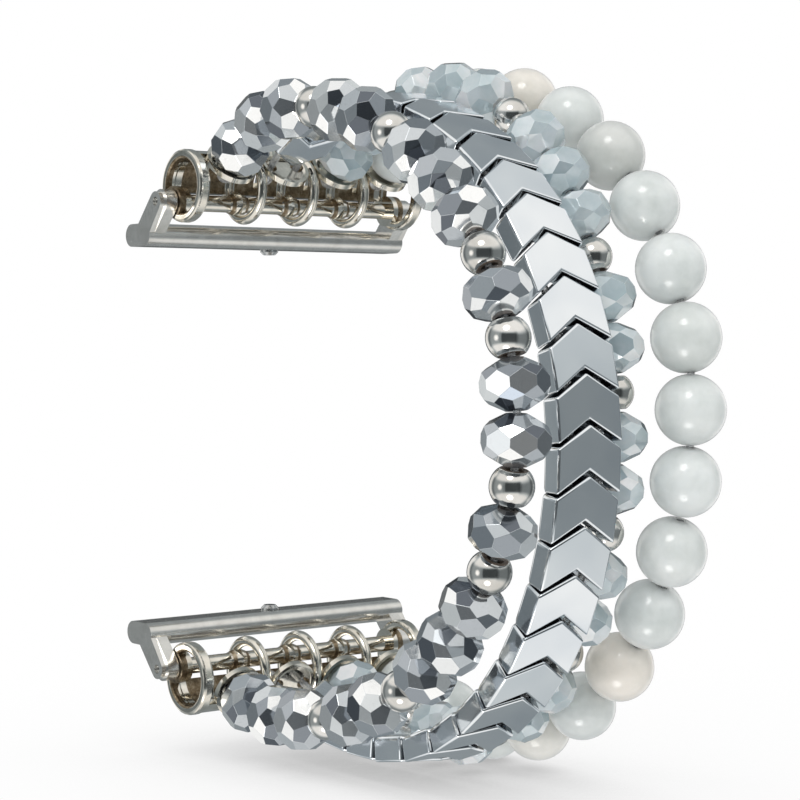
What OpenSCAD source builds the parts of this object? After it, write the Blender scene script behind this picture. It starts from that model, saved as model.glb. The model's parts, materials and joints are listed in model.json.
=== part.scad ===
// A four-strand beaded bracelet band for a small square-cased wearable.
// Each end has a sliding adapter, a pivoting cast barrel and four cord seats.
// X runs across the wrist band, Y from the outside of the wrist towards the case, +Z up.
// Sizes are in millimetres. The origin is the middle of the upper adapter's slide.

/* [Case and pins] */
// Height of the case that the two adapters slide into
case_height = 40; // [38:0.5:46]
// Distance from the case's edge out to each pin
pin_rise = 2.4; // [2.3:0.1:3]
// Depth of the pins, measured from the middle of the strand loop
pin_y = 31; // [29:0.5:33]
// Diameter of the pivot pins
pin_d = 0.9; // [0.8:0.05:1]
// Diameter of the pins' stepped ends
pin_tip_d = 0.75; // [0.6:0.05:0.8]
// Radial clearance of each pin in its bores
pin_clearance = 0.05; // [0.02:0.01:0.08]

/* [Adapter] */
// Width of the slide that sits in the case's groove
slide_w = 4.4; // [4:0.1:5]
// Thickness of the slide
slide_t = 2.2; // [2.1:0.1:2.4]
// How far the slide lies behind the pin
slide_back = 3.2; // [3.1:0.1:4]
// How far the slide's outer face stands out of the case
slide_proud = 0.4; // [0.2:0.1:0.5]
// Thickness of each ear along the pin
ear_t = 1.8; // [1.4:0.1:2.2]
// Radius of the ear round the pin
ear_r = 1.2; // [1:0.05:1.4]
// Thickness of the narrower plate on the outside of each ear
ear_plate_t = 0.6; // [0.4:0.1:0.8]
// Side gap between each ear and the barrel
ear_gap = 0.12; // [0.08:0.02:0.2]
// Diameter of the latch plunger
plunger_d = 1.8; // [1.4:0.1:2.2]
// How far the latch plunger stands out of the slide
plunger_out = 0.5; // [0.3:0.05:0.7]
// Diameter of the latch spring's wire
spring_wire = 0.2; // [0.16:0.02:0.24]

/* [Barrel] */
// Outer radius of the barrel's end discs and rings
barrel_r = 3.5; // [3.3:0.1:3.8]
// Distance from the pin to the middle of the barrel
barrel_offset = 2.15; // [2:0.05:2.4]
// Spacing of the four bays, and of the strands
bay_pitch = 6.15; // [6.15:0.05:6.6]
// Thickness of the end discs
disc_t = 1.2; // [1:0.1:1.6]
// Thickness of the rings between the bays
ring_bar = 1.0; // [0.8:0.05:1.1]
// Wall of the barrel's back
back_wall = 0.7; // [0.6:0.05:0.9]
// Outer diameter of the tube that the pin runs through
tube_d = 1.6; // [1.6:0.05:2]
// Radius of the hub round the pin on each end disc
hub_r = 1.55; // [1.3:0.05:1.7]
// Width of the slot in the back of each bay
slot_w = 0.6; // [0.4:0.1:1]
// Outer radius of the dished bead seats
cup_r = 2.3; // [2.1:0.05:2.4]
// Thickness of the floor of each bead seat
cup_floor = 0.5; // [0.4:0.05:0.6]
// How far the upper barrel leans towards the wrist at rest
upper_tilt = 46; // [42:1:50]
// How far the lower barrel leans towards the wrist at rest
lower_tilt = 66; // [55:1:68]

/* [Beads] */
// Diameter of the faceted crystals
crystal_d = 5.8; // [5.4:0.05:5.85]
// Length of the faceted crystals along the cord
crystal_len = 4.3; // [4.1:0.05:4.35]
// Facets round each crystal's belt
crystal_sides = 8; // [7:1:9]
// Diameter of the spacer balls on the first strand
spacer_d = 3.8; // [3.5:0.05:4]
// Diameter of the spacer balls on the third strand
pale_spacer_d = 3.5; // [3.2:0.05:3.8]
// Length of the spacer balls between their flats
spacer_len = 2.9; // [2.7:0.05:3.1]
// Diameter of the spacer balls' wide holes
spacer_bore = 1.5; // [1.1:0.1:1.6]
// Diameter of the round moonstones
moonstone_d = 6.25; // [6:0.05:6.4]
// Number of moonstones
moonstone_count = 19; // [18:1:20]
// Width of the chevrons
chevron_w = 6.3; // [5.6:0.05:6.3]
// Thickness of the chevrons
chevron_t = 2.4; // [2.1:0.1:2.8]
// Length of a chevron's arm along the cord
chevron_len = 3.8; // [3.65:0.05:3.9]
// How far a chevron's point stands forward of its arms
chevron_point = 2.0; // [1.6:0.1:2.4]
// Bevel round a chevron's faces
chevron_bevel = 0.3; // [0.2:0.05:0.4]
// Distance between a chevron's two holes
chevron_hole_gap = 3.0; // [2.6:0.1:3.4]
// How far the chevrons turn about their cords by the middle of the strand
chevron_turn = 9; // [0:1:12]
// Number of chevrons
chevron_count = 28; // [27:1:29]
// Diameter of the elastic cords
cord_d = 0.7; // [0.5:0.05:0.8]
// Diameter of the holes in every bead
bead_bore = 1.0; // [0.95:0.05:1.1]
// Space left between neighbouring beads of the crystal strands
bead_gap = 0.2; // [0.2:0.01:0.3]
// Wider space at the seats, between chevrons and where the band bends
wide_gap = 0.32; // [0.3:0.01:0.4]
// Space left between neighbouring moonstones
round_gap = 0.05; // [0.03:0.01:0.1]
// Diameter of the knots that hold the cords in the barrels
knot_d = 1.6; // [1.5:0.05:1.8]

/* [Loop] */
// Height of each strand's highest point above the case's edge
strand_rise = [10.4, 10.9, 12.3, 12.1]; // [9.5:0.1:14]
// Depth of each strand's lowest point below the case's edge
strand_drop = [5.9, 8, 7.8, 7.9]; // [5.5:0.1:9]
// Height of each strand's far end above the middle of the case
strand_far_z = [2.5, 0.5, 2.4, 3.6]; // [0:0.1:5]
// How far each strand bows sideways by its middle
strand_bow = [-1.3, 0.8, 1.5, 1.6]; // [-2:0.1:2]

/* [Hidden] */
$fn = 48;
SECTIONS = [1, 2, 3, 4, 5];

nickel = "#c9c5bb";
steel = "#b9bcc0";
mirror_silver = "#9aa0a8";
pale_blue = "#c3d3da";
stone_white = "#eeeeea";
cord_clear = "#dfe3e4";

// Places shared by the adapters, the pins and the barrels
pin_z = case_height / 2 + pin_rise;
slide_y = pin_y + slide_back;
slide_top = case_height / 2 + slide_proud;
slide_z = slide_top - slide_t / 2;
barrel_len = 4 * bay_pitch + 2 * disc_t;
ear_inside = barrel_len / 2 + ear_gap;
ear_outside = ear_inside + ear_t;
ear_hole_d = pin_tip_d + 2 * pin_clearance;
pin_recess = 0.5;
pocket_clearance = 0.08;
pocket_roof = 0.5;
pocket_depth = slide_t - pocket_roof;
plunger_inside = 0.8;
plunger_len = plunger_inside + plunger_out;
plunger_chamfer = 0.3;
spring_room = 0.04;
ring_r = barrel_r - ring_bar / 2;
overcut = 1;

// Where a bead rests above the middle of the barrel, and the knot under it
seat_depth = 0.5;
seat_h = barrel_r - seat_depth;
seat_clearance = 0.05;
knot_h = seat_h - cup_floor - knot_d / 2 - seat_clearance;
cup_hole_room = 0.6;
cup_hole_d = cord_d + cup_hole_room;

// Places of the four strands across the band, and the cords in each
strand_x = [for (i = [0:3]) (i - 1.5) * bay_pitch];
one_cord = [0];
two_cords = [-chevron_hole_gap / 2, chevron_hole_gap / 2];
bay_cords = [one_cord, two_cords, one_cord, one_cord];

// Numbers of the last bead before each bend of the band
bead_bends = [5, 9, 15, 21];
stone_bends = [3, 6, 10, 14];

// Groups of crystals along the first and third strands, with a spacer ball between groups
mirror_groups = [3, 2, 3, 1, 2, 1, 3, 2, 3];
pale_groups = [2, 3, 3, 2, 2, 2, 2, 2, 2];

function sum(list, upto) = upto <= 0 ? 0 : list[upto - 1] + sum(list, upto - 1);

// A strand is a list of [kind, length], from the upper barrel to the lower one
function string_groups(groups) = [
    for (g = [0:len(groups) - 1])
        for (i = [0:groups[g] - (g == len(groups) - 1 ? 1 : 0)])
            i < groups[g] ? ["crystal", crystal_len] : ["ball", spacer_len]
];
mirror_strand = string_groups(mirror_groups);
pale_strand = string_groups(pale_groups);
chevron_strand = [for (i = [1:chevron_count]) ["chevron", chevron_len]];
moonstone_strand = [for (i = [1:moonstone_count]) ["moonstone", moonstone_d]];

strands = [mirror_strand, chevron_strand, pale_strand, moonstone_strand];
function kind_of(bay) = strands[bay][0][0];
function bends_of(bay) = kind_of(bay) == "moonstone" ? stone_bends : bead_bends;
function count_below(list, i) = len([for (b = list) if (b < i) b]);
function section_of(bay, i) = 1 + count_below(bends_of(bay), i);

// Where a strand starts above its seat: a crystal leans there, and a chevron's point and wings
// reach past its arms
crystal_lead = 0.18;
chevron_reach = 1;
chevron_lead = chevron_point / 2 + chevron_reach;
function lead(bay) = kind_of(bay) == "chevron" ? chevron_lead
    : kind_of(bay) == "moonstone" ? seat_clearance : crystal_lead;

// The space after a bead is wide in the tight arcs by the seats, and at each bend
tight_joints = [3, 2];
stone_bend_gap = 0.2;
function is_bend(bay, i) = len(search(i, bends_of(bay))) > 0;
function is_tight(bay, i) = i < tight_joints[0] || i > len(strands[bay]) - 2 - tight_joints[1];
function gap_after(bay, i) =
    kind_of(bay) == "moonstone" ? (is_bend(bay, i) ? stone_bend_gap : round_gap)
    : kind_of(bay) == "chevron" || is_bend(bay, i) || is_tight(bay, i) ? wide_gap : bead_gap;
function bead_start(bay, i) = lead(bay) + sum([for (b = strands[bay]) b[1]], i)
    + sum([for (j = [0:len(strands[bay]) - 1]) gap_after(bay, j)], i);
function strand_len(bay) = let (last = len(strands[bay]) - 1)
    bead_start(bay, last) + strands[bay][last][1] + lead(bay);

// The loop of a strand in the YZ plane: an arc out of each seat, and two quarters of ellipses
function leaning(tilt) = [-sin(tilt), cos(tilt)];
function flip_z(p) = [p[0], -p[1]];
upper_out = leaning(upper_tilt);
lower_out = flip_z(leaning(lower_tilt));
upper_middle = [pin_y, pin_z] + barrel_offset * upper_out;
lower_middle = [pin_y, -pin_z] + barrel_offset * lower_out;
upper_seat = upper_middle + seat_h * upper_out;
lower_seat = lower_middle + seat_h * lower_out;

// Radius of the arc that leaves a seat at its lean and levels out after a given rise
function arc_r(tilt, rise) = rise / (1 - sin(tilt));
arc_steps = 12;
quarter_steps = 30;
function curve(bay, reach) = let (
    top = case_height / 2 + strand_rise[bay],
    bottom = case_height / 2 + strand_drop[bay],
    far_z = strand_far_z[bay],
    upper_r = arc_r(upper_tilt, top - upper_seat[1]),
    lower_r = arc_r(lower_tilt, bottom + lower_seat[1]),
    crown = [upper_seat[0] - upper_r * cos(upper_tilt), top],
    sole = [lower_seat[0] - lower_r * cos(lower_tilt), -bottom]
) concat(
    [for (i = [0:arc_steps - 1]) let (a = (90 - upper_tilt) * (1 - i / arc_steps))
        crown + upper_r * [sin(a), cos(a) - 1]],
    [for (i = [0:quarter_steps - 1]) let (a = 90 + 90 * i / quarter_steps)
        [crown[0] + (crown[0] + reach) * cos(a), far_z + (top - far_z) * sin(a)]],
    [for (i = [0:quarter_steps - 1]) let (a = 180 + 90 * i / quarter_steps)
        [sole[0] + (sole[0] + reach) * cos(a), far_z + (bottom + far_z) * sin(a)]],
    [for (i = [0:arc_steps]) let (a = (90 - lower_tilt) * i / arc_steps)
        sole + lower_r * [sin(a), 1 - cos(a)]]
);
function running(pts) = [
    for (i = 0, s = 0; i < len(pts); s = s + norm(pts[min(i + 1, len(pts) - 1)] - pts[i]), i = i + 1) s
];
function span(bay, reach) = let (s = running(curve(bay, reach))) s[len(s) - 1];

// The reach of a strand's loop follows from the length of the beads on it
function reach_for(bay, low, high, tries) = let (middle = (low + high) / 2)
    tries == 0 ? middle
    : span(bay, middle) < strand_len(bay) ? reach_for(bay, middle, high, tries - 1)
    : reach_for(bay, low, middle, tries - 1);
reach_tries = 16;
function route(bay) = let (
    pts = curve(bay, reach_for(bay, 0, strand_len(bay) / 2, reach_tries)),
    s = running(pts)
) [for (k = [0, 1]) [for (i = [0:len(pts) - 1]) [s[i], pts[i][k]]]];

// A strand bows sideways between its seats, and a chevron turns about its cords
function share(bay, s) = sin(180 * s / strand_len(bay));
function at(bay, way, s) =
    [strand_x[bay] + strand_bow[bay] * share(bay, s), lookup(s, way[0]), lookup(s, way[1])];
function place_of(bay, way, s, length) = let (
    run = at(bay, way, s + length) - at(bay, way, s),
    half = run / norm(run) * length / 2,
    mid = at(bay, way, s + length / 2)
) [mid - half, mid + half, kind_of(bay) == "chevron" ? chevron_turn * share(bay, s + length / 2) : 0];

// Each bead's two ends on its cord, and its turn
function places(bay) = let (way = route(bay))
    [for (i = [0:len(strands[bay]) - 1]) place_of(bay, way, bead_start(bay, i), strands[bay][i][1])];
bead_places = [for (bay = [0:3]) places(bay)];

// Direction of a bead's cord as two turns: about X, and before it about Y
function swing(run) = atan2(-run[1], run[2]);
function lean(run) = asin(run[0] / norm(run));

// Moves a model drawn about the middle of the case to the part's own origin
module from_slide() {
    translate([0, -slide_y, -slide_z]) children();
}

// Stands a piece drawn along Z on its stretch of cord
module on_cord(place) {
    run = place[1] - place[0];
    translate((place[0] + place[1]) / 2)
        rotate([swing(run), 0, 0]) rotate([0, lean(run), 0]) rotate([0, 0, place[2]]) children();
}

// Outline points of a facet plane in the half plane through the crystal's axis
function facet(tilt, turn, dist) = [cos(tilt) * cos(turn), sin(tilt), dist];
function meet(p, q) = let (det = p[0] * q[1] - p[1] * q[0])
    [(p[2] * q[1] - p[1] * q[2]) / det, (p[0] * q[2] - p[2] * q[0]) / det];
half_turn = 180 / crystal_sides;
belt_edge_h = 0.39;
belt_peak_h = 1.06;
crown_tilt = 60;
table_r = 0.85;
belt_dist = crystal_d / 2 * cos(half_turn);
shoulder_tilt = atan2(crystal_d / 2 * pow(sin(half_turn), 2), belt_peak_h - belt_edge_h);
shoulder_dist = cos(shoulder_tilt) * crystal_d / 2 + sin(shoulder_tilt) * belt_edge_h;
crown_dist = cos(crown_tilt) * table_r + sin(crown_tilt) * crystal_len / 2;
table_point = [table_r / cos(half_turn), crystal_len / 2];
crown_point = meet(facet(shoulder_tilt, 0, shoulder_dist), facet(crown_tilt, half_turn, crown_dist));
shoulder_point = meet(facet(shoulder_tilt, half_turn, shoulder_dist), facet(crown_tilt, 0, crown_dist));

// A ring of crystal points: one outline point repeated round the axis
function ring_of(p, turn, side) = [
    for (i = [0:crystal_sides - 1]) let (a = 2 * half_turn * i + turn)
        [p[0] * cos(a), p[0] * sin(a), side * p[1]]
];
function half_crystal(side) = concat(
    ring_of(table_point, half_turn, side), ring_of(crown_point, half_turn, side),
    ring_of(shoulder_point, 0, side), ring_of([belt_dist, belt_peak_h], 0, side),
    ring_of([crystal_d / 2, belt_edge_h], half_turn, side)
);
crystal_points = concat(half_crystal(1), half_crystal(-1));
turns = [0:crystal_sides - 1];

// Numbers of the points: half a crystal, its ring from the table to the belt, and the place round the axis
function point_no(half, ring, i) = (5 * half + ring) * crystal_sides + (i + crystal_sides) % crystal_sides;
function reversed(list) = [for (i = [len(list) - 1:-1:0]) list[i]];
function flipped(half, face) = half == 0 ? face : reversed(face);
function crown_face(half, i) = flipped(half, [
    point_no(half, 0, i - 1), point_no(half, 0, i), point_no(half, 1, i),
    point_no(half, 2, i), point_no(half, 1, i - 1)
]);
function shoulder_face(half, i) = flipped(half, [
    point_no(half, 1, i), point_no(half, 2, i + 1), point_no(half, 3, i + 1),
    point_no(half, 4, i), point_no(half, 3, i), point_no(half, 2, i)
]);
function belt_face(i) = [
    point_no(0, 3, i), point_no(0, 4, i), point_no(1, 4, i),
    point_no(1, 3, i), point_no(1, 4, i - 1), point_no(0, 4, i - 1)
];
crystal_faces = concat(
    [for (half = [0, 1]) flipped(half, [for (i = turns) point_no(half, 0, -i)])],
    [for (half = [0, 1]) for (i = turns) crown_face(half, i)],
    [for (half = [0, 1]) for (i = turns) shoulder_face(half, i)],
    [for (i = turns) belt_face(i)]
);

module bead_hole(d, length) {
    cylinder(d = d, h = length + 2 * overcut, center = true);
}

module crystal(turn) {
    difference() {
        rotate([0, 0, turn]) polyhedron(crystal_points, crystal_faces, convexity = 2);
        bead_hole(bead_bore, crystal_len);
    }
}

module moonstone() {
    difference() {
        sphere(d = moonstone_d);
        bead_hole(bead_bore, moonstone_d);
    }
}

// A metal ball with a flat round each end of its wide hole
module spacer(d) {
    difference() {
        intersection() {
            sphere(d = d);
            cylinder(d = 2 * d, h = spacer_len, center = true);
        }
        bead_hole(spacer_bore, spacer_len);
    }
}

// Outline of a chevron in the XZ plane, drawn in by an inset
function chevron_outline(inset) = let (
    slope = chevron_point / (chevron_w / 2),
    side = chevron_w / 2 - inset,
    slant = inset * sqrt(1 + slope * slope),
    front = -chevron_len / 2 - chevron_point / 2 + slant,
    rear = chevron_len / 2 - chevron_point / 2 - slant
) [
    [-side, front + slope * side], [0, front], [side, front + slope * side],
    [side, rear + slope * side], [0, rear], [-side, rear + slope * side]
];
function layer(y, inset) = [for (p = chevron_outline(inset)) [p[0], y, p[1]]];
chevron_points = concat(
    layer(-chevron_t / 2, chevron_bevel), layer(chevron_bevel - chevron_t / 2, 0),
    layer(chevron_t / 2 - chevron_bevel, 0), layer(chevron_t / 2, chevron_bevel)
);
chevron_faces = concat(
    [[5, 4, 1, 0], [4, 3, 2, 1], [18, 19, 22, 23], [19, 20, 21, 22]],
    [for (k = [0:2]) for (i = [0:5]) let (j = (i + 1) % 6)
        [6 * k + i, 6 * k + j, 6 * k + 6 + j, 6 * k + 6 + i]]
);

module chevron() {
    difference() {
        polyhedron(chevron_points, chevron_faces, convexity = 4);
        for (x = two_cords) translate([x, 0, 0]) bead_hole(bead_bore, chevron_len + chevron_point);
    }
}

// Beads of one kind in one section of a strand
module strung(bay, kind, section) {
    from_slide() for (i = [0:len(strands[bay]) - 1])
        if (strands[bay][i][0] == kind && section_of(bay, i) == section)
            on_cord(bead_places[bay][i]) {
                $bead = i;
                children();
            }
}

// A crystal's turn on its cord changes from bead to bead
function bead_turn(i) = (i * 137) % 45;

module mirror_crystals(section) {
    color(mirror_silver) strung(0, "crystal", section) crystal(bead_turn($bead));
}

module mirror_spacers(section) {
    color(steel) strung(0, "ball", section) spacer(spacer_d);
}

module chevrons(section) {
    color(steel) strung(1, "chevron", section) chevron();
}

module pale_crystals(section) {
    color(pale_blue) strung(2, "crystal", section) crystal(bead_turn($bead));
}

module pale_spacers(section) {
    color(steel) strung(2, "ball", section) spacer(pale_spacer_d);
}

module moonstones(section) {
    color(stone_white) strung(3, "moonstone", section) moonstone();
}

// A tube along points in 3D, with a ring of sides at each point
module tube_along(pts, d, sides) {
    last = len(pts) - 1;
    function heading(i) = let (v = pts[min(i + 1, last)] - pts[max(i - 1, 0)]) v / norm(v);
    rings = [
        for (i = [0:last]) let (
            t = heading(i),
            u = cross(t, abs(t[0]) > 0.9 ? [0, 0, 1] : [1, 0, 0]),
            a = u / norm(u),
            b = cross(t, a)
        ) for (k = [0:sides - 1]) pts[i] + d / 2 * (a * cos(360 * k / sides) + b * sin(360 * k / sides))
    ];
    polyhedron(rings, concat(
        [[for (k = [0:sides - 1]) k]],
        [[for (k = [0:sides - 1]) last * sides + sides - 1 - k]],
        [for (i = [0:last - 1]) for (k = [0:sides - 1]) let (n = (k + 1) % sides)
            [i * sides + n, i * sides + k, (i + 1) * sides + k, (i + 1) * sides + n]]
    ));
}

cord_sides = 6;
upper_knot_place = upper_middle + knot_h * upper_out;
lower_knot_place = lower_middle + knot_h * lower_out;

last_section = len(SECTIONS);

// Direction across a bead, in which its cords lie beside each other
function across(run, turn) = let (a = swing(run), b = lean(run))
    cos(turn) * [cos(b), sin(a) * sin(b), -cos(a) * sin(b)] + sin(turn) * [0, cos(a), sin(a)];

// The points of one section of a cord, which runs straight through each bead
function cord_ends(place, aside) = let (move = aside * across(place[1] - place[0], place[2]))
    [place[0] + move, place[1] + move];
function bead_points(bay, aside, section) = [
    for (i = [0:len(strands[bay]) - 1]) if (section_of(bay, i) == section)
        each cord_ends(bead_places[bay][i], aside)
];

// Draws the end of a cord back towards the next point, where a section stops inside a bead
cord_cut = 0.12;
function drawn_back(from, next) = from + cord_cut * (next - from) / norm(next - from);

// A cord leaves its knot straight, and then runs to the first bead
knot_lead = 0.25;
function from_knot(bay, aside, place, out) = [
    for (h = [0, knot_lead]) let (p = place + (knot_d / 2 + h) * out) [strand_x[bay] + aside, p[0], p[1]]
];
function cord_points(bay, aside, section) = let (
    pts = bead_points(bay, aside, section),
    last = len(pts) - 1
) concat(
    section > 1 ? [drawn_back(pts[0], pts[1])]
        : concat(from_knot(bay, aside, upper_knot_place, upper_out), [pts[0]]),
    [for (i = [1:last - 1]) pts[i]],
    section < last_section ? [drawn_back(pts[last], pts[last - 1])]
        : concat([pts[last]], reversed(from_knot(bay, aside, lower_knot_place, lower_out)))
);

module cords(section) {
    color(cord_clear) from_slide() for (bay = [0:3]) for (aside = bay_cords[bay])
        tube_along(cord_points(bay, aside, section), cord_d, cord_sides);
}

// A cylinder along X, drawn about its middle
module cross_bar(r, length) {
    rotate([0, 90, 0]) cylinder(r = r, h = length, center = true);
}

// A ring of round bar standing across X
module round_ring(r, bar) {
    rotate([0, 90, 0]) rotate_extrude() translate([r, 0]) circle(d = bar);
}

// The barrel is drawn with its pin at the origin and the seats facing +Z
module barrel_body() {
    difference() {
        union() {
            translate([0, 0, barrel_offset]) {
                for (side = [-1, 1]) translate([side * (barrel_len - disc_t) / 2, 0, 0]) end_disc();
                for (i = [1:3]) translate([(i - 2) * bay_pitch, 0, 0]) round_ring(ring_r, ring_bar);
                back_plate();
                for (i = [0:3]) translate([strand_x[i], 0, 0]) bead_seat();
            }
            cross_bar(tube_d / 2, barrel_len);
            for (i = [1:3]) translate([(i - 2) * bay_pitch, 0, 0]) tube_collar();
            for (side = [-1, 1]) translate([side * (barrel_len - disc_t) / 2, 0, 0])
                cross_bar(hub_r, disc_t);
        }
        cross_bar(pin_d / 2 + pin_clearance, barrel_len + 2 * overcut);
        for (i = [0:3]) for (x = bay_cords[i])
            translate([strand_x[i] + x, 0, barrel_offset + seat_h - cup_floor / 2])
                cylinder(d = cup_hole_d, h = cup_floor + 2 * overcut, center = true);
    }
}

// An end disc: a rim with rounded edges, and a hub that leaves a crescent opening beside it
rim_w = 0.9;
rim_round = 0.3;
module end_disc() {
    rotate([0, 90, 0]) rotate_extrude() translate([barrel_r - rim_w / 2, 0])
        offset(r = rim_round, $fn = 12) square([rim_w, disc_t] - 2 * [rim_round, rim_round], center = true);
    intersection() {
        cross_bar(barrel_r - rim_w / 2, disc_t);
        translate([0, 0, -barrel_offset]) cross_bar(hub_r, disc_t);
    }
}

// A collar that thickens the tube on both sides of a ring
collar_r = 1.25;
collar_len = 1.1;
module tube_collar() {
    for (side = [0, 180]) rotate([0, 90, side]) cylinder(r1 = collar_r, r2 = tube_d / 2, h = collar_len);
}

// The curved back that closes the side away from the wrist, with a slot in each bay
back_from = -55;
back_to = 72;
back_inset = 0.1;
module back_plate() {
    outer = barrel_r - back_inset;
    difference() {
        intersection() {
            difference() {
                cross_bar(outer, barrel_len - disc_t);
                cross_bar(outer - back_wall, barrel_len);
            }
            rotate([90, 0, 90]) linear_extrude(barrel_len, center = true)
                polygon([[0, 0], for (a = [back_from, (back_from + back_to) / 2, back_to])
                    2 * barrel_r * [cos(a), sin(a)]]);
        }
        for (x = strand_x) translate([x, barrel_r, 0]) cube([slot_w, barrel_r, barrel_r], center = true);
    }
}

// A dished seat with its rim on the rings at both sides
rim_h = 0.35;
rim_out = 0.25;
module bead_seat() {
    rim_r = cup_r + rim_out;
    top = cup_floor + rim_h;
    translate([0, 0, seat_h - cup_floor]) rotate_extrude()
        polygon([[0, 0], [rim_r - 0.65, 0], [rim_r, cup_floor * 0.6], [rim_r, top],
            [rim_r - rim_h, top], [rim_r - rim_h - 0.6, cup_floor], [0, cup_floor]]);
}

// Carries a barrel drawn about its pin to the upper or the lower end
module at_upper_end() {
    from_slide() translate([0, pin_y, pin_z]) rotate([upper_tilt, 0, 0]) children();
}

module at_lower_end() {
    from_slide() mirror([0, 0, 1]) translate([0, pin_y, pin_z]) rotate([lower_tilt, 0, 0]) children();
}

module knots() {
    for (i = [0:3]) for (x = bay_cords[i])
        translate([strand_x[i] + x, 0, barrel_offset + knot_h]) sphere(d = knot_d);
}

// The stepped pin stays in the ears, and the barrel turns on it
module pin_body() {
    tip_len = ear_gap + ear_t - pin_recess;
    cross_bar(pin_d / 2, barrel_len);
    for (side = [-1, 1]) translate([side * (barrel_len + tip_len) / 2, 0, 0])
        cross_bar(pin_tip_d / 2, tip_len);
}

// An ear leans from the slide to the pin, with a narrower plate on its outer side
ear_plate_r = 0.8 * ear_r;
sunk = 0.01;
module ear_outline(r) {
    lean = [-slide_back, pin_rise + slide_t / 2];
    across = [lean[1], -lean[0]] / norm(lean);
    translate([pin_y, pin_z]) circle(r = r);
    polygon([
        [pin_y, pin_z] + r * across, [pin_y, pin_z] - r * across,
        [slide_y - slide_w / 2 + 0.2, slide_z], [slide_y + r * 0.9, slide_z]
    ]);
}

module ear() {
    rotate([90, 0, 90]) {
        linear_extrude(ear_t - ear_plate_t) ear_outline(ear_r);
        translate([0, 0, ear_t - ear_plate_t - sunk]) linear_extrude(ear_plate_t + sunk)
            ear_outline(ear_plate_r);
    }
}

// The slide: a bar with round long edges, and a blind pocket for the latch
module adapter_body() {
    difference() {
        union() {
            translate([0, slide_y, slide_z]) slide_bar();
            translate([ear_inside, 0, 0]) ear();
            mirror([1, 0, 0]) translate([ear_inside, 0, 0]) ear();
        }
        translate([0, pin_y, pin_z]) cross_bar(ear_hole_d / 2, 2 * ear_outside + overcut);
        translate([0, slide_y, slide_z - slide_t / 2 - overcut])
            cylinder(d = plunger_d + 2 * pocket_clearance, h = pocket_depth + overcut);
    }
}

module slide_bar() {
    flat = slide_w - slide_t;
    cube([2 * ear_outside, flat, slide_t], center = true);
    for (side = [-1, 1]) translate([0, side * flat / 2, 0]) cross_bar(slide_t / 2, 2 * ear_outside);
}

module latch_body() {
    translate([0, slide_y, slide_z - slide_t / 2 - plunger_out]) {
        translate([0, 0, plunger_chamfer]) cylinder(d = plunger_d, h = plunger_len - plunger_chamfer);
        cylinder(d1 = plunger_d - 2 * plunger_chamfer, d2 = plunger_d, h = plunger_chamfer);
    }
}

// The latch spring: a coil of round wire behind the plunger
spring_turns = 3;
spring_steps = 10;
spring_inset = 0.15;
module latch_spring_body() {
    base = slide_z - slide_t / 2 - plunger_out + plunger_len + spring_wire / 2 + spring_room;
    height = slide_z - slide_t / 2 + pocket_depth - base - spring_wire / 2 - spring_room;
    r = (plunger_d - spring_wire) / 2 - spring_inset;
    translate([0, slide_y, base]) tube_along([
        for (i = [0:spring_turns * spring_steps]) let (a = 360 * i / spring_steps)
            [r * cos(a), r * sin(a), height * i / (spring_turns * spring_steps)]
    ], spring_wire, 5);
}

module lower_side() {
    from_slide() mirror([0, 0, 1]) children();
}

module upper_adapter() { color(nickel) from_slide() adapter_body(); }
module lower_adapter() { color(nickel) lower_side() adapter_body(); }
module upper_latch() { color(steel) from_slide() latch_body(); }
module lower_latch() { color(steel) lower_side() latch_body(); }
module upper_latch_spring() { color(steel) from_slide() latch_spring_body(); }
module lower_latch_spring() { color(steel) lower_side() latch_spring_body(); }
module upper_pin() { color(steel) from_slide() translate([0, pin_y, pin_z]) pin_body(); }
module lower_pin() { color(steel) lower_side() translate([0, pin_y, pin_z]) pin_body(); }
module upper_barrel() { color(nickel) at_upper_end() barrel_body(); }
module lower_barrel() { color(nickel) at_lower_end() barrel_body(); }
module upper_knots() { color(cord_clear) at_upper_end() knots(); }
module lower_knots() { color(cord_clear) at_lower_end() knots(); }

upper_adapter();
upper_latch();
upper_latch_spring();
upper_pin();
upper_barrel();
upper_knots();
lower_adapter();
lower_latch();
lower_latch_spring();
lower_pin();
lower_barrel();
lower_knots();
for (i = SECTIONS) mirror_crystals(i);
for (i = SECTIONS) mirror_spacers(i);
for (i = SECTIONS) chevrons(i);
for (i = SECTIONS) pale_crystals(i);
for (i = SECTIONS) pale_spacers(i);
for (i = SECTIONS) moonstones(i);
for (i = SECTIONS) cords(i);
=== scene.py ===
"""Looks of a four-strand beaded bracelet band with pivoting cast end pieces.

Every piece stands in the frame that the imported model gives, in metres: +X across the band, +Y from
the wrist side out to the front, +Z up, with the origin in the middle of the upper slide.
"""

import json
import math
import random

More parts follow.
